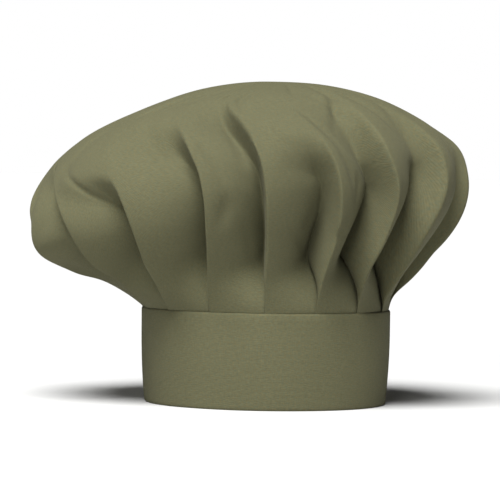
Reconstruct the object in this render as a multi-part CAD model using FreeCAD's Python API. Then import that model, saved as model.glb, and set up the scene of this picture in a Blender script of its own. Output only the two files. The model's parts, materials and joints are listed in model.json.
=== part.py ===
"""Chef's toque: a soft crown with a pleated rim, sewn into a folded headband that closes at the back.

Frame: millimetres, +Z up, the wearer's face towards -Y, the closure at +Y.
Origin: centre of the head opening, on the plane of the band's lower edge.
Angles are in degrees, counted anticlockwise from +X as seen from above, so the closure is near 90.
The headband runs clockwise from its underlap end, round the front, to a ramp that steps out over that end.
"""

import FreeCAD
import Part

import math
import os

Vec = FreeCAD.Vector

# Headband
HEAD_RADIUS = 96.0          # inner face of the facing: a head girth of about 603
BAND_HEIGHT = 75.0
CLOTH = 0.7                 # one layer of poplin, drawn thicker than life so that it is a sound solid
POCKET = 1.6                # room between facing and outside wall, for interlining and pleated rim
BAND_WALL = 2 * CLOTH + POCKET
BAND_OUTER = HEAD_RADIUS + BAND_WALL
FIT_GAP = 0.1               # between pieces that lie against each other
LOWER_EDGE_ROUND = 0.6

# Closure at the back
UNDERLAP_END = 112.0        # where the band's inner end stops
RAMP_START = 134.0          # where the other end starts to step outwards
RAMP_END = 118.4
HINGE_ANGLE = 118.0         # where the free end folds back when it is peeled open
FREE_END = 67.0
FREE_END_CORNER = 7.0
LOOP_TAPE = 0.9             # thickness
HOOK_TAPE = 1.0
TAPE_CLEARANCE = 0.3
OVERLAP_INNER = BAND_OUTER + 0.05 + LOOP_TAPE + TAPE_CLEARANCE + HOOK_TAPE + 0.05
OVERLAP_WALL = 2.4
OVERLAP_OUTER = OVERLAP_INNER + OVERLAP_WALL
OVERLAP_LOW = 0.4
OVERLAP_HIGH = BAND_HEIGHT - 0.6
TAPE_MIDDLE = BAND_HEIGHT / 2
LOOP_HEIGHT = 40.0
LOOP_SPAN = (57.0, 107.0)
HOOK_HEIGHT = 30.0
HOOK_SPAN = (70.0, 103.0)

# Crown
CROWN_CLOTH = 1.2
NECK_RADIUS = BAND_OUTER - CLOTH - FIT_GAP
SEAM_ALLOWANCE = 15.0       # how far the rim reaches down inside the band
NECK_TOP = BAND_HEIGHT + 0.2
CROWN_TOP = 256.0
CAP_RADIUS = 12.0
AROUND = 24                 # points round each section
CUT_THROUGH = 4.0           # how far an inner solid reaches below the one that it hollows

# The crown's outline from neck to top, as (radius, height), on four sides.
# It flops towards the left, and lies flatter at the front than at the back.
RIGHT_SIDE = [
    (102, 86), (117, 101), (144, 132), (158, 158), (161, 181),
    (153, 205), (130, 223), (91, 242), (47, 252),
]
LEFT_SIDE = [
    (109, 82), (132, 95), (170, 104), (191, 120), (194, 145),
    (181, 176), (149, 208), (103, 232), (53, 249),
]
FRONT = [
    (102, 85), (108, 100), (118, 124), (128, 150), (133, 176),
    (128, 202), (110, 224), (78, 242), (40, 251),
]
BACK = [
    (104, 85), (116, 99), (136, 120), (152, 146), (157, 172),
    (149, 198), (125, 221), (87, 240), (44, 251),
]

# Stitches
STITCH_LENGTH = 2.6
STITCH_PITCH = 3.3
STITCH_WIDTH = 0.5
STITCH_THICK = 0.22
STITCH_CLEAR = 0.02         # a stitch lies this far off the cloth it holds

# Trim
SLIT_ANGLE = 115.0
SLIT_TOP = 128.0
BINDING_WIDTH = 7.0
BINDING_THICK = 0.8
BINDING_CLEAR = 0.4         # between the binding and the crown's outside
BARTACK = (2.4, 9.0)        # height, width
LABEL = (34.0, 20.0)        # width, length
LABEL_THICK = 0.22
LABEL_ANGLE = 40.0


def at(radius, angle, z=0.0):
    a = math.radians(angle)
    return Vec(radius * math.cos(a), radius * math.sin(a), z)


def arc(radius, start, end, z=0.0):
    """An arc about the band's axis, from one angle to another."""
    return Part.Arc(at(radius, start, z), at(radius, (start + end) / 2, z), at(radius, end, z)).toShape()


def sector(inner, outer, start, end, low, high):
    """A curved slab between two radii, two angles and two heights."""
    edges = [
        arc(inner, start, end, low),
        Part.makeLine(at(inner, end, low), at(outer, end, low)),
        arc(outer, end, start, low),
        Part.makeLine(at(outer, start, low), at(inner, start, low)),
    ]
    return Part.Face(Part.Wire(edges)).extrude(Vec(0, 0, high - low))


def ramp_curve(radius, z):
    """The plan line of a layer of the band's root end, which steps out to pass over the underlap."""
    step = OVERLAP_INNER - HEAD_RADIUS
    points = []
    count = 8
    for i in range(count + 1):
        share = i / count
        rise = share * share * (3 - 2 * share)
        points.append(at(radius + step * rise, RAMP_START + (RAMP_END - RAMP_START) * share, z))
    curve = Part.BSplineCurve()
    around = at(1, RAMP_START - 90)
    leave = at(1, RAMP_END - 90)
    curve.interpolate(Points=points, InitialTangent=around, FinalTangent=leave)
    return curve.toShape(), points[0], points[-1]


def strip(inner, outer, end_margin, low, high):
    """One layer of the headband: a ring from the underlap end round the front, and the ramp."""
    ring_start = UNDERLAP_END - end_margin
    inside, inside_first, inside_last = ramp_curve(inner, low)
    outside, outside_first, outside_last = ramp_curve(outer, low)
    inner_arc = arc(inner, ring_start, RAMP_START - 360, low)
    outer_arc = arc(outer, ring_start, RAMP_START - 360, low)
    start_line = Part.makeLine(at(inner, ring_start, low), at(outer, ring_start, low))
    end_line = Part.makeLine(inside_last, outside_last)
    wire = Part.Wire(Part.__sortEdges__([start_line, inner_arc, inside, end_line, outside, outer_arc]))
    return Part.Face(wire).extrude(Vec(0, 0, high - low))


def bar(centre, along, across, out):
    """A small block round a point: along, across and out are vectors as long as its sides."""
    corner = centre - (along + across + out) * 0.5
    wire = Part.makePolygon([corner, corner + along, corner + along + across, corner + across, corner])
    return Part.Face(wire).extrude(out)


def stitch(radius, angle, z, upright=False):
    """One stitch whose inner face is at a radius."""
    around = at(1, angle + 90)
    up = Vec(0, 0, 1)
    along, across = (up, around) if upright else (around, up)
    centre = at(radius + STITCH_THICK / 2, angle, z)
    return bar(centre, along * STITCH_LENGTH, across * STITCH_WIDTH, at(STITCH_THICK, angle))


def stitches_round(radius, start, end, z):
    """A level line of stitches from one angle to another."""
    length = math.radians(abs(end - start)) * radius
    count = int(length / STITCH_PITCH)
    step = (end - start) / count
    return [stitch(radius, start + step * (i + 0.5), z) for i in range(count)]


def stitches_up(radius, angle, low, high):
    """An upright line of stitches."""
    count = int((high - low) / STITCH_PITCH)
    step = (high - low) / count
    return [stitch(radius, angle, low + step * (i + 0.5), upright=True) for i in range(count)]


def stitched_box(radius, span, low, high, inset):
    """The four lines of stitches that hold a tape, set in from its edges."""
    turn = math.degrees(inset / radius)
    first, last = span[0] + turn, span[1] - turn
    clear = math.degrees(STITCH_PITCH / 2 / radius)
    lines = stitches_round(radius, first + clear, last - clear, low + inset)
    lines += stitches_round(radius, first + clear, last - clear, high - inset)
    lines += stitches_up(radius, first, low + inset, high - inset)
    lines += stitches_up(radius, last, low + inset, high - inset)
    return Part.makeCompound(lines)


def band_cloth():
    """The strip folded along its lower edge: two walls with a pocket between them that is open at the top."""
    wall = strip(HEAD_RADIUS, BAND_OUTER, 0, 0, BAND_HEIGHT)
    lower = [e for e in wall.Edges if e.BoundBox.ZMax < 0.01 and e.Length > 100]
    wall = wall.makeFillet(LOWER_EDGE_ROUND, lower)
    pocket = strip(HEAD_RADIUS + CLOTH, BAND_OUTER - CLOTH, 1.2, CLOTH, BAND_HEIGHT + 1)
    stopped = sector(HEAD_RADIUS - 5, BAND_OUTER + 12, RAMP_END - 0.1, RAMP_END + 1.0, 0, BAND_HEIGHT + 1)
    return wall.cut(pocket.cut(stopped))


def band_interlining():
    """Stiffener in the lower part of the fold; it stops below the pleated rim and before the ramp."""
    low = CLOTH + FIT_GAP
    high = BAND_HEIGHT - SEAM_ALLOWANCE - 2
    inner = HEAD_RADIUS + CLOTH + FIT_GAP
    outer = BAND_OUTER - CLOTH - FIT_GAP
    return sector(inner, outer, UNDERLAP_END - 2, RAMP_START - 360 + 1, low, high)


def outline(angle):
    """The crown's outline at an angle, from just above the neck to the cap, as (radius, height) pairs."""
    c, s = math.cos(math.radians(angle)), math.sin(math.radians(angle))
    across = RIGHT_SIDE if c > 0 else LEFT_SIDE
    along = BACK if s > 0 else FRONT
    blended = [(c * c * a[0] + s * s * b[0], c * c * a[1] + s * s * b[1]) for a, b in zip(across, along)]
    return [(NECK_RADIUS, NECK_TOP)] + blended + [(CAP_RADIUS, CROWN_TOP)]


def moved_in(points, depth):
    """The same outline, a depth further in."""
    inner = []
    for i in range(1, len(points) - 1):
        (r0, z0), (r1, z1) = points[i - 1], points[i + 1]
        length = math.hypot(r1 - r0, z1 - z0)
        inner.append((points[i][0] - (z1 - z0) / length * depth, points[i][1] + (r1 - r0) / length * depth))
    first = (points[0][0] - depth, points[0][1])
    last = (points[-1][0], points[-1][1] - depth)
    return [first] + inner + [last]


def pouf(depth, lower=0.0):
    """The solid inside the crown's outside face, or inside a face that is a depth further in.

    Its flat lower face is at the neck, or lower, which lets it cut right through another one.
    """
    angles = [360.0 * k / AROUND for k in range(AROUND)]
    outlines = [moved_in(outline(a), depth) if depth else outline(a) for a in angles]
    for points in outlines:
        points[0] = (points[0][0], points[0][1] - lower)
    sections = []
    for level in range(len(outlines[0])):
        curve = Part.BSplineCurve()
        curve.interpolate(
            Points=[at(o[level][0], a, o[level][1]) for o, a in zip(outlines, angles)], PeriodicFlag=True
        )
        sections.append(Part.Wire(curve.toShape()))
    return Part.makeLoft(sections, True, False)


def crown():
    """The pouf as a shell, and below it the rim that reaches into the band all round but for the closure."""
    shell = pouf(0).cut(pouf(CROWN_CLOTH, CUT_THROUGH))
    rim_low = BAND_HEIGHT - SEAM_ALLOWANCE
    inner = NECK_RADIUS - CROWN_CLOTH
    rim = sector(inner, NECK_RADIUS, UNDERLAP_END - 2.5, RAMP_START - 360 + 1, rim_low, NECK_TOP)
    return Part.makeCompound([shell, rim])


def skin(clear, thick):
    """A layer that lies on the crown's outside, a little clear of it."""
    return pouf(-(clear + thick)).cut(pouf(-clear, CUT_THROUGH))


def slit_window(width, low, high):
    """A block that spans the slit, for cutting trim out of a skin."""
    middle = at(BAND_OUTER + 25, SLIT_ANGLE, (low + high) / 2)
    return bar(middle, at(width, SLIT_ANGLE + 90), Vec(0, 0, high - low), at(90, SLIT_ANGLE))


def slit_binding():
    return skin(BINDING_CLEAR, BINDING_THICK).common(slit_window(BINDING_WIDTH, BAND_HEIGHT + 3, SLIT_TOP))


def slit_bartack():
    height, width = BARTACK
    low = SLIT_TOP - height - 2
    above = BINDING_CLEAR + BINDING_THICK + 0.1
    return skin(above, 0.5).common(slit_window(width, low, low + height))


def overlap_outline():
    """A block with the free end's outline as seen from behind, its two free corners rounded."""
    left = at(OVERLAP_OUTER, FREE_END).x
    width = left - at(OVERLAP_OUTER, HINGE_ANGLE).x + 20
    box = Part.makeBox(width, 120, OVERLAP_HIGH - OVERLAP_LOW, Vec(left - width, 0, OVERLAP_LOW))
    corners = [e for e in box.Edges if abs(e.BoundBox.XMin - left) < 0.01 and e.BoundBox.YLength > 100]
    return box.makeFillet(FREE_END_CORNER, corners)


def overlap_end():
    """The band's free end: a closed envelope of cloth with its stiffener inside."""
    wall = sector(OVERLAP_INNER, OVERLAP_OUTER, FREE_END - 1, HINGE_ANGLE, OVERLAP_LOW, OVERLAP_HIGH)
    inside = sector(
        OVERLAP_INNER + CLOTH, OVERLAP_OUTER - CLOTH,
        FREE_END + 4, HINGE_ANGLE - 1,
        OVERLAP_LOW + 2, OVERLAP_HIGH - 2,
    )
    return wall.common(overlap_outline()).cut(inside)


def overlap_interlining():
    inner = OVERLAP_INNER + CLOTH + FIT_GAP
    outer = OVERLAP_OUTER - CLOTH - FIT_GAP
    return sector(inner, outer, FREE_END + 4.2, HINGE_ANGLE - 1.2, OVERLAP_LOW + 2.2, OVERLAP_HIGH - 2.2)


def overlap_edge_stitching():
    """One line close to the free end's outer edges, round three sides."""
    radius = OVERLAP_OUTER + STITCH_CLEAR
    inset = 2.0
    corner = math.degrees(FREE_END_CORNER / radius)
    first = FREE_END + math.degrees(inset / radius)
    lines = stitches_round(radius, first + corner, HINGE_ANGLE - 1, OVERLAP_HIGH - inset)
    lines += stitches_round(radius, first + corner, HINGE_ANGLE - 1, OVERLAP_LOW + inset)
    past_corner = inset + FREE_END_CORNER
    lines += stitches_up(radius, first + 0.3, OVERLAP_LOW + past_corner, OVERLAP_HIGH - past_corner)
    return Part.makeCompound(lines)


def tape(inner, thick, span, height):
    return sector(inner, inner + thick, span[0], span[1], TAPE_MIDDLE - height / 2, TAPE_MIDDLE + height / 2)


def loop_tape():
    return tape(BAND_OUTER + 0.05, LOOP_TAPE, LOOP_SPAN, LOOP_HEIGHT)


def hook_tape():
    return tape(OVERLAP_INNER - 0.05 - HOOK_TAPE, HOOK_TAPE, HOOK_SPAN, HOOK_HEIGHT)


def loop_tape_stitching():
    radius = BAND_OUTER + 0.05 + LOOP_TAPE + STITCH_CLEAR
    low, high = TAPE_MIDDLE - LOOP_HEIGHT / 2, TAPE_MIDDLE + LOOP_HEIGHT / 2
    return stitched_box(radius, LOOP_SPAN, low, high, 1.8)


def hook_tape_stitching():
    """The box that holds the hook tape, as it shows on the outside of the free end."""
    low, high = TAPE_MIDDLE - HOOK_HEIGHT / 2, TAPE_MIDDLE + HOOK_HEIGHT / 2
    return stitched_box(OVERLAP_OUTER + STITCH_CLEAR, HOOK_SPAN, low, high, 1.8)


def facing_stitching():
    """The line that closes the facing over the pleated rim, on the inside of the band."""
    radius = HEAD_RADIUS - STITCH_CLEAR - STITCH_THICK
    stitches = stitches_round(radius, UNDERLAP_END - 1.5, RAMP_START - 360 + 1, BAND_HEIGHT - 4)
    return Part.makeCompound(stitches)


def crown_seam_stitching():
    """The machine seam through the pleated rim, hidden between the rim and the facing."""
    radius = HEAD_RADIUS + CLOTH + 0.06
    stitches = stitches_round(radius, UNDERLAP_END - 5.4, RAMP_START - 360 + 2, BAND_HEIGHT - 9)
    return Part.makeCompound(stitches)


def care_label():
    """A blank woven label that hangs inside the band, its top edge under the facing's line of stitches."""
    width, length = LABEL
    half = math.degrees(width / 2 / HEAD_RADIUS)
    high = BAND_HEIGHT - 5.5
    outer = HEAD_RADIUS - 0.03
    return sector(outer - LABEL_THICK, outer, LABEL_ANGLE - half, LABEL_ANGLE + half, high - length, high)


PIECES = [
    crown,
    band_cloth,
    band_interlining,
    crown_seam_stitching,
    facing_stitching,
    overlap_end,
    overlap_interlining,
    overlap_edge_stitching,
    hook_tape,
    hook_tape_stitching,
    loop_tape,
    loop_tape_stitching,
    slit_binding,
    slit_bartack,
    care_label,
]


def main():
    os.makedirs("parts", exist_ok=True)
    for piece in PIECES:
        shape = piece()
        shape.exportStep("parts/" + piece.__name__ + ".step")
        box = shape.optimalBoundingBox()
        print(
            f"{piece.__name__:24s} solids {len(shape.Solids):3d} valid {shape.isValid()}"
            f" volume {shape.Volume:10.1f} x {box.XMin:.1f}..{box.XMax:.1f}"
            f" y {box.YMin:.1f}..{box.YMax:.1f} z {box.ZMin:.1f}..{box.ZMax:.1f}"
        )


main()
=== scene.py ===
"""Looks for the chef's toque: pleated crown cloth, folded headband, closure and trim, in an olive poplin."""

import json
import math

import bmesh
import bpy
import numpy as np
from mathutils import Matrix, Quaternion, Vector


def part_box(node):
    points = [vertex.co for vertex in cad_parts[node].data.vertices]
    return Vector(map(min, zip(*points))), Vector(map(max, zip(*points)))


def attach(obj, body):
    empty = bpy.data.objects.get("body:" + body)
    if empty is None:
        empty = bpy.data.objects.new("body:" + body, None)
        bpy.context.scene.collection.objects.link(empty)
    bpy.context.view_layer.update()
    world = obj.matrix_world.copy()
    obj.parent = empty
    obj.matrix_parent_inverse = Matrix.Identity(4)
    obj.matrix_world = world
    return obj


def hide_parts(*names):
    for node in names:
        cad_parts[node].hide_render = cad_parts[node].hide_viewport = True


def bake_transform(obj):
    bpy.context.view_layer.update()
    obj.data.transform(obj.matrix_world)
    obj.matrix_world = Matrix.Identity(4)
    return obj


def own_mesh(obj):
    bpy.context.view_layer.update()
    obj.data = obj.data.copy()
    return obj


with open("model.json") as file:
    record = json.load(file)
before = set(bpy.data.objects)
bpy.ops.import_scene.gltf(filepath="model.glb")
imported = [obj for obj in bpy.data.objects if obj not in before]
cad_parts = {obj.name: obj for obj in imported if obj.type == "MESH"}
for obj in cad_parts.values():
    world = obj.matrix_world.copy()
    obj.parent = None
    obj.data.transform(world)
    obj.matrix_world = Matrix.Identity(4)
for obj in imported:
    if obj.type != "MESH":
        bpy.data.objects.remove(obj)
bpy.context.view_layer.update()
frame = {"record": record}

MM = 0.001


def corners(node):
    """A CAD node's lowest and highest corners in millimetres, rounded past what facets leave off."""
    low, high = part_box(node)
    return [round(v / MM, 1) for v in low], [round(v / MM, 1) for v in high]


BAND_OUTER, BAND_HEIGHT = corners("band_cloth")[1][1:]
HEAD_OPENING = next(m for m in frame["record"]["mounts"] if m["name"] == "head_opening")
HEAD_RADIUS = HEAD_OPENING["dims"]["r_mm"]

# ---------------------------------------------------------------------------------------------
# Crown form. Outlines are (radius, height) pairs in millimetres from just above the seam upwards.

PLEATS = 15
NECK_RADIUS = BAND_OUTER - 0.8
SEAM_HEIGHT = BAND_HEIGHT + 0.2
CROWN_TOP = corners("crown")[1][2] - 1.2
RIGHT_SIDE = [
    (102, 86), (117, 101), (144, 132), (158, 158), (161, 181),
    (153, 205), (130, 223), (91, 243), (47, 254),
]
LEFT_SIDE = [
    (109, 82), (132, 95), (170, 104), (191, 120), (194, 145),
    (181, 176), (149, 208), (103, 232), (53, 250),
]
FRONT = [
    (102, 85), (108, 100), (118, 124), (128, 150), (133, 176),
    (128, 202), (110, 224), (78, 242), (40, 252),
]
BACK = [
    (104, 85), (116, 99), (136, 120), (152, 146), (157, 172),
    (149, 198), (125, 221), (87, 241), (44, 252),
]

# Folds of the crown, one for each pleat, from the wearer's right side round the front. Bearings are degrees
# from the front towards the wearer's left, at the shares LEVELS of the way from seam to top. Then come the
# depth of the hollow beside the fold in millimetres, the share where it ends, and how gradually it ends.
LEVELS = (0.0, 0.12, 0.25, 0.37, 0.47, 0.58, 0.68)
FOLDS = [
    ((-102, -90, -77, -81, -92, -98, -102), 20, 0.42, 0.06),
    ((-78, -63, -59.5, -64, -77, -84, -88), 36, 0.45, 0.04),
    ((-53, -46, -41.5, -45, -54, -60, -64), 46, 0.395, 0.035),
    ((-29, -24, -21.5, -21, -26, -36, -42), 32, 0.55, 0.06),
    ((-2.5, -1.5, -1, -1.5, -3.5, -11, -23), 30, 0.65, 0.08),
    ((21, 22.5, 24.5, 23.5, 21, 15, 8), 38, 0.48, 0.07),
    ((45, 41.5, 43, 43.5, 40, 40.5, 42), 44, 0.62, 0.12),
    ((68, 61, 59, 63, 65, 66, 68), 48, 0.56, 0.16),
    ((92, 88, 86, 87, 90, 92, 93), 20, 0.50, 0.10),
    ((116, 114, 112, 114, 117, 120, 122), 18, 0.46, 0.08),
    ((140, 139, 139, 141, 143, 142, 144), 22, 0.55, 0.12),
    ((164, 164, 166, 165, 163, 160, 160), 17, 0.44, 0.07),
    ((188, 188, 189, 190, 190, 188, 186), 21, 0.58, 0.13),
    ((212, 214, 214, 212, 210, 211, 212), 18, 0.47, 0.08),
    ((236, 239, 241, 240, 237, 236, 236), 16, 0.52, 0.12),
]
INNER_FOLD = 0.70           # share of a pleat's cloth from its crest to its hidden inner fold
PRESSED_LAP = 0.85          # how far the pressed pleat goes under the next one, in pleat widths
HIDDEN_RINGS = (12.0, 8.0, 4.0)     # how far below the seam the crown's hidden rings lie
CLOTH = 0.45                # thickness


def side_points(c, s):
    """The blended outline at the direction with cosine c and sine s, from the seam to the top."""
    across = RIGHT_SIDE if c > 0 else LEFT_SIDE
    along = BACK if s > 0 else FRONT
    blended = [(c * c * a[0] + s * s * b[0], c * c * a[1] + s * s * b[1]) for a, b in zip(across, along)]
    return np.array([(NECK_RADIUS, SEAM_HEIGHT)] + blended + [(0.0, CROWN_TOP)])


def smooth_outline(points, count):
    """Evenly spaced points on a smooth curve through the outline, level at the top, and its length."""
    mirrored = np.vstack([points, [-points[-2, 0], points[-2, 1]]])
    knots = np.r_[0, np.cumsum(np.hypot(*np.diff(mirrored, axis=0).T) ** 0.5)]
    slopes = np.gradient(mirrored, knots, axis=0)
    t = np.linspace(0, knots[-2], count * 3)
    k = np.clip(np.searchsorted(knots, t, side="right") - 1, 0, len(knots) - 2)
    h = (knots[k + 1] - knots[k])[:, None]
    u = (t - knots[k])[:, None] / h
    curve = (2 * u**3 - 3 * u**2 + 1) * mirrored[k] + (u**3 - 2 * u**2 + u) * h * slopes[k]
    curve += (3 * u**2 - 2 * u**3) * mirrored[k + 1] + (u**3 - u**2) * h * slopes[k + 1]
    lengths = np.r_[0, np.cumsum(np.hypot(*np.diff(curve, axis=0).T))]
    even = np.linspace(0, lengths[-1], count)
    return np.c_[np.interp(even, lengths, curve[:, 0]), np.interp(even, lengths, curve[:, 1])], lengths[-1]


class Form:
    """The crown's smooth outer form, as a table over bearing and share of the way from seam to top."""

    BEARINGS = 360
    SHARES = 401

    def __init__(self):
        rows, lengths = [], []
        for i in range(self.BEARINGS):
            angle = math.radians(i * 360 / self.BEARINGS - 90)
            curve, length = smooth_outline(side_points(math.cos(angle), math.sin(angle)), self.SHARES)
            rows.append(curve)
            lengths.append(length)
        self.lengths = np.array(lengths)
        table = np.array(rows)
        along = np.gradient(table, axis=1)
        along /= np.linalg.norm(along, axis=2, keepdims=True) + 1e-12
        normal = np.stack([along[..., 1], -along[..., 0]], -1)
        self.table = np.concatenate([table, normal], 2)

    def at(self, bearing, share, depth):
        """Points at bearings in degrees and shares of the way up, a depth in millimetres inside the form."""
        a = np.mod(bearing, 360) * self.BEARINGS / 360
        a0 = np.floor(a).astype(int)
        fa = (a - a0)[..., None]
        s = np.clip(share, 0, 1) * (self.SHARES - 1)
        s0 = np.minimum(np.floor(s).astype(int), self.SHARES - 2)
        fs = (s - s0)[..., None]
        a0 %= self.BEARINGS
        a1 = (a0 + 1) % self.BEARINGS
        low = self.table[a0, s0] * (1 - fa) + self.table[a1, s0] * fa
        high = self.table[a0, s0 + 1] * (1 - fa) + self.table[a1, s0 + 1] * fa
        p = low * (1 - fs) + high * fs
        radius = p[..., 0] - p[..., 2] * depth
        height = p[..., 1] - p[..., 3] * depth
        turn = np.radians(bearing - 90)
        return np.stack([radius * np.cos(turn), radius * np.sin(turn), height], -1)


def step(low, high, x):
    """0 below low, 1 above high, smooth between."""
    t = np.clip((x - low) / (high - low), 0, 1)
    return t * t * (3 - 2 * t)


def smooth_through(levels, values, x):
    """A smooth curve through given values: straight lines, rounded by a short average."""
    reach = 0.05
    return sum(np.interp(x + d * reach, levels, values) for d in (-1, -0.5, 0, 0.5, 1)) / 5


def fold_bearing(index, share):
    """The bearing of a fold's crest, which drifts back to its seat near the top of the crown."""
    bearings = FOLDS[index % PLEATS][0]
    turns = 360 * (index // PLEATS)
    drift = smooth_through(LEVELS, bearings, share)
    seat = bearings[0]
    return turns + seat + (drift - seat) * (1 - step(0.68, 0.95, share))


def shallowing(end, share):
    """How a fold gets shallower from its deepest place, not far above the seam, to its end."""
    return 1 - 0.5 * np.clip((share - 0.2) / (end - 0.2), 0, 1) ** 0.8


def fold_depth(index, share):
    """The depth of the hollow on the left of a crest."""
    _, depth, end, fade = FOLDS[index % PLEATS]
    opening = 0.9 + (depth - 0.9) * step(-0.01, 0.13, share)
    return opening * shallowing(end, share) * (1 - step(end - fade, end + fade, share))


def fold_lap(index, share):
    """How far the inner fold lies past its flat place, in pleat widths: pressed at the seam, open above."""
    _, depth, end, fade = FOLDS[index % PLEATS]
    pressed = 1 + PRESSED_LAP - INNER_FOLD
    leaning = 0.17 + 0.004 * depth
    lap = leaning + (pressed - leaning) * (1 - step(0.0, 0.11, share))
    return lap * shallowing(end, share) * (1 - step(end - 1.5 * fade, end + 1.5 * fade, share))


def draw_creases():
    """Small soft creases: turn, share, tilt, half length in shares, half width in pleats, depth in mm."""
    random = np.random.default_rng(CREASE_SEED)
    creases = []
    for _ in range(CREASE_COUNT):
        middle = (random.uniform(0, PLEATS), random.uniform(0.16, 0.86))
        tilt = random.normal(0, 1.6)
        size = (random.uniform(0.05, 0.15), random.uniform(0.07, 0.16))
        creases.append((*middle, tilt, *size, random.uniform(0.8, 3.0)))
    return creases


CREASE_SEED = 5
CREASE_COUNT = 150
CREASES = draw_creases()


def crease_depth(turn, share):
    """How far the small creases push the cloth in, in millimetres. Each is steeper on one side."""
    depth = np.zeros(len(turn))
    for middle, level, tilt, long, wide, deep in CREASES:
        up = (share - level) / long
        if abs(up) >= 1:
            continue
        aside = np.mod(turn - middle - tilt * (share - level) + PLEATS / 2, PLEATS) - PLEATS / 2
        x = aside / wide
        across = np.where(x > 0, np.exp(-1.2 * x * x), np.exp(-5.0 * x * x))
        depth += deep * across * (1 - up * up) ** 2
    return depth


def crown_points(form, turn, share):
    """Where the cloth lies. turn counts pleats from the first one, share is the way up from the seam."""
    index = np.floor(turn).astype(int)
    f = turn - index
    points = np.zeros((len(turn), 3))
    creased = crease_depth(turn, share)
    rounding = 0.03 + 0.05 * step(0.0, 0.15, share)
    for k in range(PLEATS):
        mask = index == k
        if not mask.any():
            continue
        g = f[mask]
        crest, following = fold_bearing(k, share), fold_bearing(k + 1, share)
        depth, lap = fold_depth(k + 1, share), fold_lap(k + 1, share)
        ramp = np.minimum(g / INNER_FOLD, (1 - g) / (1 - INNER_FOLD))
        ramp = 1 - np.sqrt((1 - ramp) ** 2 + rounding**2)
        ramp = np.sqrt(ramp**2 + rounding**2)
        rise = np.sin(np.clip((1 - g) / (1 - INNER_FOLD), 0, 1) * math.pi / 2) ** 0.7
        side = np.where(g < INNER_FOLD, (g / INNER_FOLD) ** 1.3, rise)
        bearing = crest + (following - crest) * (g + lap * ramp)
        points[mask] = form.at(bearing, np.full(len(g), share), depth * side + creased[mask])
    return points


ROWS = 72
PLEAT_COLUMNS = 32
RING_COLUMNS = PLEATS * PLEAT_COLUMNS


def crown_rings():
    """The crown's rings from hem to top: columns, and share of the way up or minus mm below the seam."""
    rings = []
    for below in HIDDEN_RINGS:
        rings.append((RING_COLUMNS, -below))
    for i in range(ROWS):
        share = i / ROWS
        left = 1 - share
        columns = RING_COLUMNS
        while columns > PLEATS * 2 and left * 2 < columns / RING_COLUMNS:
            columns //= 2
        rings.append((columns, share))
    return rings


def ring_faces(low, low_count, high, high_count):
    """Faces between two rings whose vertices start at low and high. The upper has as many or half."""
    faces = []
    if low_count == high_count:
        for i in range(low_count):
            j = (i + 1) % low_count
            faces.append((low + i, low + j, high + j, high + i))
        return faces
    for i in range(high_count):
        j = (i + 1) % high_count
        a, b, c = low + 2 * i, low + 2 * i + 1, low + (2 * i + 2) % low_count
        faces += [(high + i, a, b), (high + i, b, high + j), (high + j, b, c)]
    return faces


def make_object(name, points, faces, uv=None):
    mesh = bpy.data.meshes.new(name)
    mesh.from_pydata([tuple(p) for p in points], [], faces)
    if uv is not None:
        layer = mesh.uv_layers.new(name="cloth")
        loops = np.zeros(len(mesh.loops), int)
        mesh.loops.foreach_get("vertex_index", loops)
        layer.data.foreach_set("uv", np.asarray(uv)[loops].astype(np.float32).ravel())
    mesh.polygons.foreach_set("use_smooth", [True] * len(mesh.polygons))
    mesh.update()
    piece = bpy.data.objects.new(name, mesh)
    bpy.context.scene.collection.objects.link(piece)
    return piece


def build_crown(form):
    points, faces, uv = [], [], []
    rings = crown_rings()
    start, previous = 0, None
    for columns, share in rings:
        turn = np.arange(columns) / (columns / PLEATS)
        ring = crown_points(form, turn, max(share, 0.0))
        if share < 0:
            ring *= (0.99, 0.99, 1)
            ring[:, 2] += share
        angle = turn / PLEATS * 2 * math.pi
        bearing = np.degrees(angle) + FOLDS[0][0][0]
        closed = np.r_[form.lengths, form.lengths[0]]
        flat = np.interp(np.mod(bearing, 360), np.arange(form.BEARINGS + 1), closed)
        rho = flat * (1 - share) if share >= 0 else flat - share
        uv.append(np.c_[rho * np.cos(angle), rho * np.sin(angle)] * MM)
        points.append(ring)
        if previous is not None:
            faces += ring_faces(previous[0], previous[1], start, columns)
        previous = (start, columns)
        start += columns
    points.append([[0, 0, CROWN_TOP]])
    uv.append([[0, 0]])
    for i in range(previous[1]):
        faces.append((previous[0] + i, previous[0] + (i + 1) % previous[1], start))
    crown = make_object("crown_cloth", np.vstack(points) * MM, faces, np.vstack(uv))
    shares = np.concatenate([np.full(c, s) for c, s in rings] + [[1.0]])
    return crown, np.vstack(uv), shares


SIM_FRAMES = 16
HOLD = 0.45                  # how strongly the cloth is drawn to its seeded place above the seam


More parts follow.
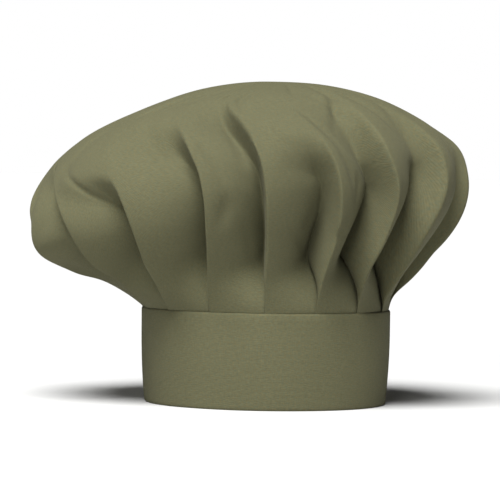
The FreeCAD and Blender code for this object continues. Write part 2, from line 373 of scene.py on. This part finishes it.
def relax(crown, flat, shares):
    """Lets the seeded folds settle as cloth, with the rest lengths of the flat cut and its rim sewn fast."""
    crown.shape_key_add(name="seeded")
    cut = crown.shape_key_add(name="cut")
    cut.data.foreach_set("co", np.c_[flat, np.zeros(len(flat))].astype(np.float32).ravel())
    group = crown.vertex_groups.new(name="held")
    for i, share in enumerate(shares):
        held = 1.0 if share <= 0.0 else HOLD + (1 - HOLD) * float(1 - step(0.0, 0.06, share))
        group.add([i], held, "REPLACE")
    modifier = crown.modifiers.new("cloth", "CLOTH")
    settings = modifier.settings
    settings.quality = 8
    settings.mass = 0.05
    settings.tension_stiffness = 40
    settings.compression_stiffness = 40
    settings.shear_stiffness = 15
    settings.bending_model = "ANGULAR"
    settings.bending_stiffness = 1.0
    settings.tension_damping = 10
    settings.compression_damping = 10
    settings.shear_damping = 10
    settings.bending_damping = 1
    settings.air_damping = 2
    settings.vertex_group_mass = "held"
    settings.pin_stiffness = 10.0
    settings.rest_shape_key = cut
    settings.use_pressure = True
    settings.uniform_pressure_force = 0.1
    settings.effector_weights.gravity = 0.0
    modifier.collision_settings.use_collision = False
    modifier.collision_settings.use_self_collision = False
    modifier.point_cache.frame_start = 1
    modifier.point_cache.frame_end = SIM_FRAMES
    scene = bpy.context.scene
    for f in range(1, SIM_FRAMES + 1):
        scene.frame_set(f)
    graph = bpy.context.evaluated_depsgraph_get()
    settled = crown.evaluated_get(graph).to_mesh()
    co = np.zeros(len(settled.vertices) * 3, np.float32)
    settled.vertices.foreach_get("co", co)
    crown.modifiers.clear()
    crown.shape_key_clear()
    crown.data.vertices.foreach_set("co", co)
    crown.data.update()
    scene.frame_set(1)


def solidify(piece, thickness, offset=-1.0):
    m = piece.modifiers.new("thickness", "SOLIDIFY")
    m.thickness = thickness
    m.offset = offset
    m.use_even_offset = False
    return m


def subdivide(piece, levels=1):
    m = piece.modifiers.new("smooth", "SUBSURF")
    m.levels = levels
    m.render_levels = levels
    return m


def apply_modifiers(piece):
    """Turns the piece's modifiers into its mesh."""
    graph = bpy.context.evaluated_depsgraph_get()
    mesh = bpy.data.meshes.new_from_object(piece.evaluated_get(graph))
    piece.modifiers.clear()
    piece.data = mesh


# ---------------------------------------------------------------------------------------------
# Headband. Radii and heights are in millimetres, angles in degrees anticlockwise from +X seen from above.

UNDERLAP_END = 112.0
RAMP_START = 134.0
RAMP_END = 118.4
SPLIT = 121.0               # where the ring of the band hands over to its free end
FREE_END = 67.0
HINGE = 118.0
OVERLAP_WALL = 2.4
OVERLAP_LOW = corners("overlap_end")[0][2]
OVERLAP_HIGH = corners("overlap_end")[1][2]
OVERLAP_FACE = corners("overlap_end")[1][1]
OVERLAP_STEP = OVERLAP_FACE - OVERLAP_WALL - HEAD_RADIUS    # how far the free end stands outside the ring
FREE_END_CORNER = 7.0
CORNER_TURN_RADIUS = 103    # the radius at which the corner's length is turned into an angle
BAND_LOW = 0.3
TURNED_IN = 9.0             # cloth turned into the band along its top edge
TAPE_MIDDLE = BAND_HEIGHT / 2
LEAN = 3.0                  # how far the wall leans in at its lower edge
LEAN_HEIGHT = 58.0          # where it starts to


def pull_in(z):
    """How far the band's wall leans in at a height."""
    return LEAN * np.clip(1 - np.asarray(z, float) / LEAN_HEIGHT, 0, 1) ** 2.1


def ramp(angle):
    """How far the strip has stepped outwards at an angle of its root end."""
    return OVERLAP_STEP * step(0, 1, (RAMP_START - np.asarray(angle, float)) / (RAMP_START - RAMP_END))


def waviness(angle, z):
    """Slight unevenness of a soft band, in millimetres."""
    a = np.radians(angle)
    between_edges = np.sin(math.pi * np.clip(z / BAND_HEIGHT, 0, 1))
    slow = 0.35 * np.sin(3 * a + 0.02 * z) * between_edges
    return slow + 0.18 * np.sin(7 * a - 0.05 * z + 1.0)


def grid_piece(name, rows, uv_rows, closed=False):
    """A mesh over a grid of points, rows by columns. closed joins the last column to the first."""
    rows, uv_rows = np.asarray(rows), np.asarray(uv_rows)
    m, n = rows.shape[:2]
    faces = []
    for i in range(m - 1):
        for j in range(n if closed else n - 1):
            k = (j + 1) % n
            faces.append((i * n + j, i * n + k, (i + 1) * n + k, (i + 1) * n + j))
    return make_object(name, rows.reshape(-1, 3) * MM, faces, uv_rows.reshape(-1, 2) * MM)


def round_band(name, section, angles, outward=None):
    """A layer along the band. section is (radius, height) points, outward adds to the radius."""
    section = np.array(section, float)
    length = np.r_[0, np.cumsum(np.hypot(*np.diff(section, axis=0).T))]
    outward = np.zeros(len(angles)) if outward is None else outward
    rows, uv = [], []
    for angle, extra in zip(angles, outward):
        radius = section[:, 0] - pull_in(section[:, 1]) + extra + waviness(angle, section[:, 1])
        turn = math.radians(angle)
        rows.append(np.c_[radius * math.cos(turn), radius * math.sin(turn), section[:, 1]])
        uv.append(np.c_[np.full(len(section), turn * BAND_OUTER), length])
    return grid_piece(name, rows, uv)


def lower_fold(inner, outer, low, count=7):
    """The rounded turn along the band's lower edge, from the outside wall to the facing."""
    middle, reach = (inner + outer) / 2, (outer - inner) / 2
    turns = np.linspace(0, math.pi, count)
    return [(middle + reach * math.cos(t), low + reach - reach * math.sin(t)) for t in turns]


def band_section(inner, outer, low, high):
    """The folded strip's section: turned-in edge, outside wall, lower fold, facing, turned-in edge."""
    fold = lower_fold(inner, outer, low)
    heights = np.linspace(high - 1.0, low + (outer - inner) / 2 + 1.5, 16)
    outside = [
        (outer - 0.95, high - TURNED_IN), (outer - 0.95, high - 2),
        (outer - 0.7, high - 0.3), (outer - 0.3, high),
    ]
    outside += [(outer, z) for z in heights]
    facing = [(inner, z) for z in heights[::-1]]
    facing += [
        (inner + 0.2, high - 0.2), (inner + 0.5, high - 0.3),
        (inner + 0.8, high - 2), (inner + 0.8, high - TURNED_IN),
    ]
    return outside + fold + facing


def band_angles(start, end, pitch=1.5):
    return np.linspace(start, end, int(abs(end - start) / pitch) + 1)


def build_band():
    angles = band_angles(UNDERLAP_END, SPLIT - 360)
    outward = np.where(angles < RAMP_START - 360, ramp(angles + 360), 0)
    section = band_section(HEAD_RADIUS, BAND_OUTER, BAND_LOW, BAND_HEIGHT)
    piece = round_band("band_poplin", section, angles, outward)
    solidify(piece, CLOTH * MM)
    return piece


def build_band_interlining():
    angles = band_angles(UNDERLAP_END - 2, RAMP_START - 359)
    section = [(HEAD_RADIUS + 1.5, z) for z in np.linspace(3.5, 58, 10)]
    piece = round_band("band_stiffener", section, angles)
    solidify(piece, 0.6 * MM, 0.0)
    return piece


def overlap_section():
    inner, outer = HEAD_RADIUS + OVERLAP_STEP, HEAD_RADIUS + OVERLAP_STEP + OVERLAP_WALL
    low, high = OVERLAP_LOW, OVERLAP_HIGH
    rise = (outer - inner) / 2
    middle = (inner + outer) / 2
    turns = np.linspace(0, math.pi, 5)
    over = [(middle - rise * math.cos(t), high - rise + rise * math.sin(t)) for t in turns]
    under = [(middle + rise * math.cos(t), low + rise - rise * math.sin(t)) for t in turns]
    wall = np.linspace(high - rise - 1, low + rise + 1, 16)
    return over + [(outer, z) for z in wall] + under + [(inner, z) for z in wall[::-1]]


def build_free_end():
    """The free end: an envelope of cloth, closed and rounded at its tip."""
    section = np.array(overlap_section())
    corner = FREE_END_CORNER
    tip = np.degrees(corner / CORNER_TURN_RADIUS) + FREE_END
    rounded = tip - (tip - FREE_END) * np.sin(np.linspace(0, math.pi / 2, 7))
    angles = np.r_[band_angles(SPLIT, tip, 1.2), rounded[1:]]
    middle = np.array([HEAD_RADIUS + OVERLAP_STEP + OVERLAP_WALL / 2, TAPE_MIDDLE])
    rows, uv = [], []
    length = np.r_[0, np.cumsum(np.hypot(*np.diff(np.vstack([section, section[:1]]), axis=0).T))][:-1]
    for angle in angles:
        past = max(0.0, (tip - angle) / (tip - FREE_END))
        ring = section.copy()
        if past > 0:
            share = math.sqrt(max(0.0, 1 - min(past, 0.995) ** 2))
            half = (OVERLAP_HIGH - OVERLAP_LOW) / 2
            keep = (half - corner + corner * share) / half
            ring[:, 1] = middle[1] + (ring[:, 1] - middle[1]) * keep
            ring[:, 0] = middle[0] + (ring[:, 0] - middle[0]) * (0.15 + 0.85 * share)
        ring[:, 0] -= OVERLAP_STEP - float(ramp(angle)) if angle > RAMP_END else 0.0
        radius = ring[:, 0] - pull_in(ring[:, 1])
        turn = math.radians(angle)
        rows.append(np.c_[radius * math.cos(turn), radius * math.sin(turn), ring[:, 1]])
        uv.append(np.c_[np.full(len(ring), turn * BAND_OUTER), length])
    piece = grid_piece("free_end_poplin", rows, uv, closed=True)
    last = len(angles) - 1
    edit = bmesh.new()
    edit.from_mesh(piece.data)
    edit.verts.ensure_lookup_table()
    n = len(section)
    edit.faces.new([edit.verts[last * n + j] for j in range(n)])
    bmesh.ops.triangulate(edit, faces=[f for f in edit.faces if len(f.verts) > 4])
    bmesh.ops.recalc_face_normals(edit, faces=edit.faces)
    edit.to_mesh(piece.data)
    edit.free()
    piece.data.polygons.foreach_set("use_smooth", [True] * len(piece.data.polygons))
    solidify(piece, CLOTH * MM)
    return piece


# ---------------------------------------------------------------------------------------------
# Threads and tapes


def thread_mesh(name, stitches, radius):
    """Stitches as short rounded threads, each (middle, along, out). along is as long as the stitch."""
    points, faces = [], []
    around, spans = 6, (-0.5, -0.42, -0.2, 0.2, 0.42, 0.5)
    fat = (0.25, 0.8, 1.0, 1.0, 0.8, 0.25)
    sink = (0.9, 0.35, 0.0, 0.0, 0.35, 0.9)
    for middle, along, out in stitches:
        side = np.cross(along, out)
        side /= np.linalg.norm(side)
        start = len(points)
        for s, f, d in zip(spans, fat, sink):
            centre = middle + along * s - out * radius * d
            for i in range(around):
                t = 2 * math.pi * i / around
                points.append(centre + (side * math.cos(t) + out * math.sin(t)) * radius * f)
        for j in range(len(spans) - 1):
            for i in range(around):
                k = (i + 1) % around
                a, b = start + j * around, start + (j + 1) * around
                faces.append((a + i, a + k, b + k, b + i))
        faces.append(tuple(start + i for i in range(around))[::-1])
        faces.append(tuple(start + (len(spans) - 1) * around + i for i in range(around)))
    return make_object(name, np.array(points) * MM, faces)


def band_point(radius, angle, z):
    r = radius - float(pull_in(z))
    a = math.radians(angle)
    return np.array([r * math.cos(a), r * math.sin(a), z])


def band_stitch(radius, angle, z, upright, facing=1.0, length=2.7, wave=False):
    a = math.radians(angle)
    out = np.array([math.cos(a), math.sin(a), 0.0])
    around = np.array([-math.sin(a), math.cos(a), 0.0])
    extra = float(waviness(angle, z)) if wave else 0.0
    along = np.array([0, 0, 1.0]) if upright else around
    return band_point(radius + extra, angle, z), along * length, out * facing


PITCH = 3.3


def stitches_round(radius, start, end, z, facing=1.0, wave=False):
    count = int(math.radians(abs(end - start)) * radius / PITCH)
    gap = (end - start) / count
    return [band_stitch(radius, start + gap * (i + 0.5), z, False, facing, wave=wave) for i in range(count)]


def stitches_up(radius, angle, low, high, facing=1.0, wave=False):
    count = int((high - low) / PITCH)
    gap = (high - low) / count
    return [band_stitch(radius, angle, low + gap * (i + 0.5), True, facing, wave=wave) for i in range(count)]


def stitched_box(radius, span, low, high, inset=1.8, wave=False):
    turn = math.degrees(inset / radius)
    first, last = span[0] + turn, span[1] - turn
    lines = stitches_round(radius, first + 0.8, last - 0.8, low + inset, wave=wave)
    lines += stitches_round(radius, first + 0.8, last - 0.8, high - inset, wave=wave)
    lines += stitches_up(radius, first, low + inset, high - inset, wave=wave)
    lines += stitches_up(radius, last, low + inset, high - inset, wave=wave)
    return lines


LOOP_SPAN = (57.0, 107.0)
LOOP_HEIGHT = corners("loop_tape")[1][2] - corners("loop_tape")[0][2]
HOOK_SPAN = (70.0, 103.0)
HOOK_HEIGHT = corners("hook_tape")[1][2] - corners("hook_tape")[0][2]
HOOK_BACK = OVERLAP_FACE - OVERLAP_WALL - 0.05
THREAD = 0.2


def build_tape(name, span, height, inner, thick, wave):
    angles = band_angles(span[0], span[1], 0.8)
    heights = np.linspace(TAPE_MIDDLE - height / 2, TAPE_MIDDLE + height / 2, 26)
    rows, uv = [], []
    for angle in angles:
        turn = math.radians(angle)
        extra = waviness(angle, heights) if wave else 0.0
        radius = inner - pull_in(heights) + extra
        rows.append(np.c_[radius * math.cos(turn), radius * math.sin(turn), heights])
        uv.append(np.c_[np.full(len(heights), turn * BAND_OUTER), heights])
    piece = grid_piece(name, rows, uv)
    solidify(piece, thick * MM, 1.0)
    return piece


def curls(name, span, height, radius, pitch, size, facing, seed, wave):
    """Small curls that stand up from a tape: open loops on one tape, hooks on the other."""
    random = np.random.default_rng(seed)
    points, faces = [], []
    margin = 1.5
    wide = math.radians(span[1] - span[0]) * radius - 2 * margin
    across, up = int(wide / pitch), int((height - 2 * margin) / pitch)
    spans = np.linspace(0, 1, 6)
    for i in range(across):
        for j in range(up):
            along = margin + pitch * (i + 0.5 + random.uniform(-0.3, 0.3))
            angle = span[0] + math.degrees(along / radius)
            z = TAPE_MIDDLE - height / 2 + margin + pitch * (j + 0.5 + random.uniform(-0.3, 0.3))
            a = math.radians(angle)
            out = np.array([math.cos(a), math.sin(a), 0.0]) * facing
            lean = random.uniform(0, 2 * math.pi) if facing > 0 else random.choice([0.0, math.pi])
            level = np.array([-math.sin(a), math.cos(a), 0.0])
            side = level * math.cos(lean) + np.array([0, 0, 1.0]) * math.sin(lean)
            extra = float(waviness(angle, z)) if wave else 0.0
            root = band_point(radius + extra, angle, z)
            tall = size * random.uniform(0.75, 1.0)
            start = len(points)
            cross = np.cross(out, side)
            for t in spans:
                swing = math.pi * (1.0 if facing > 0 else 0.85) * t
                reach = 0.55 * tall * (1 - math.cos(swing))
                centre = root + side * reach + out * (tall * math.sin(swing) - 0.05)
                width = 0.06 if facing > 0 else 0.11
                points.append(centre + cross * width)
                points.append(centre - cross * width)
                points.append(centre + out * width)
            for k in range(len(spans) - 1):
                p, q = start + 3 * k, start + 3 * k + 3
                faces += [(p, p + 1, q + 1, q), (p + 1, p + 2, q + 2, q + 1), (p + 2, p, q, q + 2)]
            e = start + 3 * (len(spans) - 1)
            faces += [(start, start + 2, start + 1), (e, e + 1, e + 2)]
    return make_object(name, np.array(points) * MM, faces)


def build_label():
    """A blank woven label, sewn at its top edge and curling in a little below it."""
    width = 34.0
    low, high = corners("care_label")
    top, length = high[2], high[2] - low[2]
    middle = round(math.degrees(math.atan2(low[1] + high[1], low[0] + high[0])))
    half = math.degrees(width / 2 / HEAD_RADIUS)
    rows, uv = [], []
    for angle in np.linspace(middle - half, middle + half, 18):
        turn = math.radians(angle)
        heights = np.linspace(top, top - length, 14)
        down = (top - heights) / length
        radius = HEAD_RADIUS - 0.35 - pull_in(heights) + waviness(angle, heights)
        radius -= 1.6 * down**2 * (1 + 0.4 * math.cos(math.radians((angle - middle) * 9)))
        rows.append(np.c_[radius * math.cos(turn), radius * math.sin(turn), heights])
        uv.append(np.c_[np.full(14, turn * HEAD_RADIUS), heights])
    piece = grid_piece("woven_label", rows, uv)
    solidify(piece, 0.2 * MM, 0.0)
    return piece


LOOP_BASE = 0.45
HOOK_BASE = 0.5


def tape_edges(height):
    return TAPE_MIDDLE - height / 2, TAPE_MIDDLE + height / 2


def free_end_edge_lines():
    """One line of stitches close to the free end's outer edges, round three sides."""
    radius, inset, corner = OVERLAP_FACE + 0.05, 2.0, FREE_END_CORNER
    low, high = OVERLAP_LOW + inset, OVERLAP_HIGH - inset
    first = FREE_END + math.degrees(inset / radius)
    beyond_corner = first + math.degrees(corner / radius)
    lines = stitches_round(radius, beyond_corner, HINGE - 1, high)
    lines += stitches_round(radius, beyond_corner, HINGE - 1, low)
    return lines + stitches_up(radius, first + 0.3, low + corner, high - corner)


def build_overlap_interlining():
    angles = band_angles(FREE_END + 4.2, HINGE - 1.2)
    section = [(HEAD_RADIUS + OVERLAP_STEP + OVERLAP_WALL / 2, z) for z in np.linspace(2.6, 72.2, 14)]
    piece = round_band("free_end_stiffener", section, angles)
    solidify(piece, 0.5 * MM, 0.0)
    return piece


# ---------------------------------------------------------------------------------------------
# Trim on the crown: a bound slit above the closure

SLIT_COLUMN = 12 * PLEAT_COLUMNS + 5
SLIT_ROWS = 13
FIRST_ROW = len(HIDDEN_RINGS)


def crown_strip(points, normals, column, low, high, lift):
    """Points over the crown's cloth beside a column, from a distance low to high to its side, row by row."""
    rows = []
    for r in range(FIRST_ROW, FIRST_ROW + SLIT_ROWS):
        ring = points[r * RING_COLUMNS:(r + 1) * RING_COLUMNS]
        normal = normals[r * RING_COLUMNS:(r + 1) * RING_COLUMNS]
        row = []
        for aside in np.linspace(low, high, 4):
            c = column + aside
            i, f = int(math.floor(c)), c - math.floor(c)
            p = ring[i] * (1 - f) + ring[i + 1] * f
            n = normal[i] * (1 - f) + normal[i + 1] * f
            row.append(p + n / np.linalg.norm(n) * lift)
        rows.append(row)
    return np.array(rows)


def build_binding(points, normals):
    """Two narrow lips of cloth, one along each edge of the slit."""
    lips = []
    for name, low, high in (("slit_binding_left", -0.95, -0.04), ("slit_binding_right", 0.04, 0.95)):
        rows = crown_strip(points, normals, SLIT_COLUMN, low, high, 0.3)
        m, n = rows.shape[:2]
        uv = np.stack(np.meshgrid(np.arange(m) * 4.4, np.linspace(0, 3.5, n), indexing="ij"), -1)
        lip = grid_piece(name, rows, uv)
        subdivide(lip)
        solidify(lip, 0.7 * MM, 1.0)
        apply_modifiers(lip)
        lips.append(lip)
    return lips


def build_bartack(points, normals):
    """Close zigzag stitches across the top of the slit."""
    r = FIRST_ROW + SLIT_ROWS - 1
    a = points[r * RING_COLUMNS + SLIT_COLUMN]
    up = a - points[(r - 1) * RING_COLUMNS + SLIT_COLUMN]
    up /= np.linalg.norm(up)
    out = normals[r * RING_COLUMNS + SLIT_COLUMN]
    side = np.cross(up, out)
    side /= np.linalg.norm(side)
    out = np.cross(side, up)
    stitches = []
    for i in range(9):
        middle = a + up * (i * 0.36 - 2.4) + out * 1.15
        lean = side + up * (0.06 if i % 2 else -0.06)
        stitches.append((middle, lean / np.linalg.norm(lean) * 9.0, out))
    return thread_mesh("slit_bartack_thread", stitches, 0.26)


# ---------------------------------------------------------------------------------------------
# Materials


def nodes_of(name, colour, roughness):
    material = bpy.data.materials.new(name)
    material.use_nodes = True
    tree = material.node_tree
    shader = tree.nodes["Principled BSDF"]
    shader.inputs["Base Color"].default_value = (*colour, 1)
    shader.inputs["Roughness"].default_value = roughness
    shader.inputs["Specular IOR Level"].default_value = 0.12
    return material, tree, shader


def add_node(tree, kind, **values):
    """A shader node, with its properties or its inputs set."""
    made = tree.nodes.new(kind)
    for key, value in values.items():
        name = key.replace("_", " ").title()
        if name in made.inputs:
            made.inputs[name].default_value = value
        else:
            setattr(made, key, value)
    return made


def stretched_noise(tree, source, scale, detail=2.0):
    """Noise over mapped coordinates, stretched by a different scale on each axis."""
    mapping = tree.nodes.new("ShaderNodeMapping")
    mapping.inputs["Scale"].default_value = scale
    tree.links.new(source, mapping.inputs["Vector"])
    noise = add_node(tree, "ShaderNodeTexNoise", scale=1.0, detail=detail, roughness=0.55)
    tree.links.new(mapping.outputs["Vector"], noise.inputs["Vector"])
    return noise.outputs["Fac"]


def scaled(tree, value, low, high):
    """Maps 0.25 to 0.75, where noise mostly lies, onto low to high."""
    node = tree.nodes.new("ShaderNodeMapRange")
    node.inputs["From Min"].default_value = 0.25
    node.inputs["From Max"].default_value = 0.75
    node.inputs["To Min"].default_value = low
    node.inputs["To Max"].default_value = high
    tree.links.new(value, node.inputs["Value"])
    return node.outputs["Result"]


def math_node(tree, operation, *values):
    node = tree.nodes.new("ShaderNodeMath")
    node.operation = operation
    for i, value in enumerate(values):
        if isinstance(value, (int, float)):
            node.inputs[i].default_value = value
        else:
            tree.links.new(value, node.inputs[i])
    return node.outputs["Value"]


def woven(name, colour, roughness, warp, weft, relief, slub, sheen=0.0):
    """A woven cloth: warp and weft are threads per metre along u and v of the layer "cloth"."""
    material, tree, shader = nodes_of(name, colour, roughness)
    links = tree.links
    uv = add_node(tree, "ShaderNodeUVMap", uv_map="cloth").outputs["UV"]
    place = tree.nodes.new("ShaderNodeTexCoord").outputs["Object"]
    split = tree.nodes.new("ShaderNodeSeparateXYZ")
    links.new(uv, split.inputs["Vector"])
    turn_u = math_node(tree, "MULTIPLY", split.outputs["X"], warp * math.pi)
    turn_v = math_node(tree, "MULTIPLY", split.outputs["Y"], weft * math.pi)
    over = math_node(tree, "MULTIPLY", math_node(tree, "SINE", turn_u), math_node(tree, "SINE", turn_v))
    ribs = math_node(tree, "ABSOLUTE", math_node(tree, "SINE", turn_v))
    weave = math_node(tree, "ADD", math_node(tree, "MULTIPLY", over, 0.35), ribs)
    streak = stretched_noise(tree, uv, (280, 1300, 1), 1.0)
    cross = stretched_noise(tree, uv, (1300, 160, 1), 1.0)
    broad = stretched_noise(tree, place, (16, 16, 16), 4.0)
    along = scaled(tree, streak, 1 - slub, 1 + slub)
    shade = math_node(tree, "MULTIPLY", along, scaled(tree, cross, 1 - slub / 2, 1 + slub / 2))
    shade = math_node(tree, "MULTIPLY", shade, scaled(tree, broad, 0.955, 1.045))
    raised = math_node(tree, "ADD", 0.955, math_node(tree, "MULTIPLY", weave, 0.06))
    shade = math_node(tree, "MULTIPLY", shade, raised)
    mixed = tree.nodes.new("ShaderNodeVectorMath")
    mixed.operation = "SCALE"
    mixed.inputs[0].default_value = colour
    links.new(shade, mixed.inputs["Scale"])
    warm = scaled(tree, stretched_noise(tree, uv, (650, 650, 1), 1.0), 0.90, 1.10)
    tint = tree.nodes.new("ShaderNodeCombineXYZ")
    links.new(warm, tint.inputs["X"])
    tint.inputs["Y"].default_value = 1.0
    links.new(math_node(tree, "SUBTRACT", 2.0, warm), tint.inputs["Z"])
    tinted = tree.nodes.new("ShaderNodeVectorMath")
    tinted.operation = "MULTIPLY"
    links.new(mixed.outputs["Vector"], tinted.inputs[0])
    links.new(tint.outputs["Vector"], tinted.inputs[1])
    links.new(tinted.outputs["Vector"], shader.inputs["Base Color"])
    height = math_node(tree, "ADD", weave, math_node(tree, "MULTIPLY", streak, 1.2))
    bump = tree.nodes.new("ShaderNodeBump")
    bump.inputs["Strength"].default_value = relief
    bump.inputs["Distance"].default_value = 0.00012
    links.new(height, bump.inputs["Height"])
    links.new(bump.outputs["Normal"], shader.inputs["Normal"])
    if sheen:
        shader.inputs["Sheen Weight"].default_value = sheen
        shader.inputs["Sheen Roughness"].default_value = 0.5
        shader.inputs["Sheen Tint"].default_value = (0.9, 0.88, 0.7, 1)
    return material


def fibrous(name, colour, roughness, scale, slub):
    """Thread and curled yarn: colour that varies a little from place to place."""
    material, tree, shader = nodes_of(name, colour, roughness)
    place = tree.nodes.new("ShaderNodeTexCoord").outputs["Object"]
    shade = scaled(tree, stretched_noise(tree, place, (scale, scale, scale), 2.0), 1 - slub, 1 + slub)
    mixed = tree.nodes.new("ShaderNodeVectorMath")
    mixed.operation = "SCALE"
    mixed.inputs[0].default_value = colour
    tree.links.new(shade, mixed.inputs["Scale"])
    tree.links.new(mixed.outputs["Vector"], shader.inputs["Base Color"])
    return material


OLIVE = (0.1075, 0.1045, 0.0565)
OLIVE_THREAD = (0.092, 0.089, 0.047)


def dress(piece, material):
    piece.data.materials.clear()
    piece.data.materials.append(material)


# ---------------------------------------------------------------------------------------------
# Camera and light


def camera_and_light():
    scene = bpy.context.scene
    scene.view_settings.view_transform = "Standard"
    distance, height = 2.6, 0.195
    field = 0.4                 # width of the picture at the object, in metres
    target = Vector((-13.6 * MM, 0, 121.6 * MM))
    data = bpy.data.cameras.new("camera")
    data.sensor_width = 36
    data.lens = 36 * distance / field
    data.clip_end = 100
    camera = bpy.data.objects.new("camera", data)
    camera.location = (target.x, -distance, height)
    camera.rotation_mode = "QUATERNION"
    look = (target - camera.location).to_track_quat("-Z", "Y")
    camera.rotation_quaternion = look @ Quaternion((0, 0, 1), math.radians(0.95))
    scene.collection.objects.link(camera)
    scene.camera = camera

    world = bpy.data.worlds.new("studio")
    scene.world = world
    world.use_nodes = True
    tree = world.node_tree
    background = tree.nodes["Background"]
    background.inputs["Color"].default_value = (1, 1, 1, 1)
    seen = tree.nodes.new("ShaderNodeLightPath")
    strength = tree.nodes.new("ShaderNodeMapRange")
    strength.inputs["To Min"].default_value = AMBIENT
    strength.inputs["To Max"].default_value = 1.0
    tree.links.new(seen.outputs["Is Camera Ray"], strength.inputs["Value"])
    tree.links.new(strength.outputs["Result"], background.inputs["Strength"])

    for name, place, size, power in LIGHTS:
        light = bpy.data.lights.new(name, "AREA")
        light.shape = "DISK"
        light.size = size
        light.energy = power
        lamp = bpy.data.objects.new(name, light)
        lamp.location = place
        lamp.rotation_mode = "QUATERNION"
        lamp.rotation_quaternion = (target - Vector(place)).to_track_quat("-Z", "Y")
        scene.collection.objects.link(lamp)

    sky = bpy.data.lights.new("overhead", "SUN")
    sky.energy = OVERHEAD_STRENGTH
    sky.angle = math.radians(OVERHEAD_SPREAD)
    lamp = bpy.data.objects.new("overhead", sky)
    lamp.rotation_mode = "QUATERNION"
    lamp.rotation_quaternion = (-Vector(OVERHEAD)).to_track_quat("-Z", "Y")
    scene.collection.objects.link(lamp)

    reach = 30.0
    mesh = bpy.data.meshes.new("floor")
    corners = [(-reach, -reach, 0), (reach, -reach, 0), (reach, reach, 0), (-reach, reach, 0)]
    mesh.from_pydata(corners, [], [(0, 1, 2, 3)])
    floor = bpy.data.objects.new("floor", mesh)
    scene.collection.objects.link(floor)
    material, _, _ = nodes_of("floor", (0.62, 0.62, 0.615), 0.9)
    mesh.materials.append(material)


AMBIENT = 0.05
LIGHTS = [("key", (-0.35, -2.4, 1.0), 0.6, 11.5)]
OVERHEAD = (-0.28, -0.9, 1.7)   # direction of a wide soft light, its strength, and its spread in degrees
OVERHEAD_STRENGTH = 6.0
OVERHEAD_SPREAD = 32

# ---------------------------------------------------------------------------------------------
# The scene

poplin = woven("poplin", OLIVE, 0.86, 2200, 1100, 0.9, 0.11, sheen=0.04)
interlining = woven("interlining", (0.62, 0.61, 0.56), 0.9, 900, 900, 0.5, 0.05)
thread = fibrous("thread", OLIVE_THREAD, 0.7, 900, 0.12)
hook = fibrous("hook_tape", (0.055, 0.053, 0.032), 0.45, 500, 0.10)
loop = fibrous("loop_tape", (0.082, 0.079, 0.045), 0.95, 700, 0.18)
satin = woven("label", (0.78, 0.77, 0.72), 0.55, 3000, 3000, 0.3, 0.03)

form = Form()
crown, flat, shares = build_crown(form)
relax(crown, flat, shares)
cage = np.array([v.co for v in crown.data.vertices]) / MM
cage_normals = np.array([v.normal for v in crown.data.vertices])
subdivide(crown)
solidify(crown, CLOTH * MM)
apply_modifiers(crown)
dress(crown, poplin)

band = build_band()
stiffener = build_band_interlining()
free_end = build_free_end()
free_stiffener = build_overlap_interlining()
lips = build_binding(cage, cage_normals)
bartack = build_bartack(cage, cage_normals)
loop_back = BAND_OUTER + 0.05
loop_backing = build_tape("loop_tape_backing", LOOP_SPAN, LOOP_HEIGHT, loop_back, LOOP_BASE, True)
hook_face = HOOK_BACK - HOOK_BASE
hook_backing = build_tape("hook_tape_backing", HOOK_SPAN, HOOK_HEIGHT, hook_face, HOOK_BASE, False)
loops = curls("loop_tape_pile", LOOP_SPAN, LOOP_HEIGHT, loop_back + LOOP_BASE, 1.1, 0.45, 1, 7, True)
hooks = curls("hook_tape_hooks", HOOK_SPAN, HOOK_HEIGHT, hook_face, 1.5, 0.55, -1, 11, False)
label = build_label()

seam_from, seam_to = UNDERLAP_END - 5.4, RAMP_START - 358
seam_line = stitches_round(HEAD_RADIUS + 0.75, seam_from, seam_to, BAND_HEIGHT - 9, -1.0, True)
seam_threads = thread_mesh("crown_seam_threads", seam_line, THREAD)
facing_from, facing_to = UNDERLAP_END - 1.5, RAMP_START - 359
facing_line = stitches_round(HEAD_RADIUS - 0.05, facing_from, facing_to, BAND_HEIGHT - 4, -1.0, True)
facing_threads = thread_mesh("facing_threads", facing_line, THREAD)
loop_box = stitched_box(BAND_OUTER + 0.95, LOOP_SPAN, *tape_edges(LOOP_HEIGHT), wave=True)
loop_threads = thread_mesh("loop_tape_threads", loop_box, THREAD)
edge_threads = thread_mesh("free_end_threads", free_end_edge_lines(), THREAD)
hook_box = stitched_box(OVERLAP_FACE + 0.05, HOOK_SPAN, *tape_edges(HOOK_HEIGHT))
hook_threads = thread_mesh("hook_tape_threads", hook_box, THREAD)

dress(band, poplin)
dress(free_end, poplin)
for lip in lips:
    dress(lip, poplin)
dress(stiffener, interlining)
dress(free_stiffener, interlining)
for threads in (bartack, seam_threads, facing_threads, loop_threads, edge_threads, hook_threads):
    dress(threads, thread)
dress(loop_backing, loop)
dress(loops, loop)
dress(hook_backing, hook)
dress(hooks, hook)
dress(label, satin)

on_band = (crown, band, stiffener, seam_threads, facing_threads, loop_backing, loops, loop_threads, label)
for piece in (*on_band, bartack, *lips):
    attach(piece, "band")
for piece in (hook_backing, hooks, hook_threads):
    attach(piece, "free_end")
for piece in (free_end, free_stiffener, edge_threads):
    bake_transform(piece)
for piece in (crown, bartack, *lips):
    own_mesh(piece)

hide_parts("crown")
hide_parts("band_cloth")
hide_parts("band_interlining")
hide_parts("overlap_end")
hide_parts("overlap_interlining")
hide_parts("slit_binding")
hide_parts("slit_bartack")
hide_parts("loop_tape")
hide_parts("hook_tape")
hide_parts("care_label")
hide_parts("crown_seam_stitching")
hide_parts("facing_stitching")
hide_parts("loop_tape_stitching")
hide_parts("overlap_edge_stitching")
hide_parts("hook_tape_stitching")

camera_and_light()
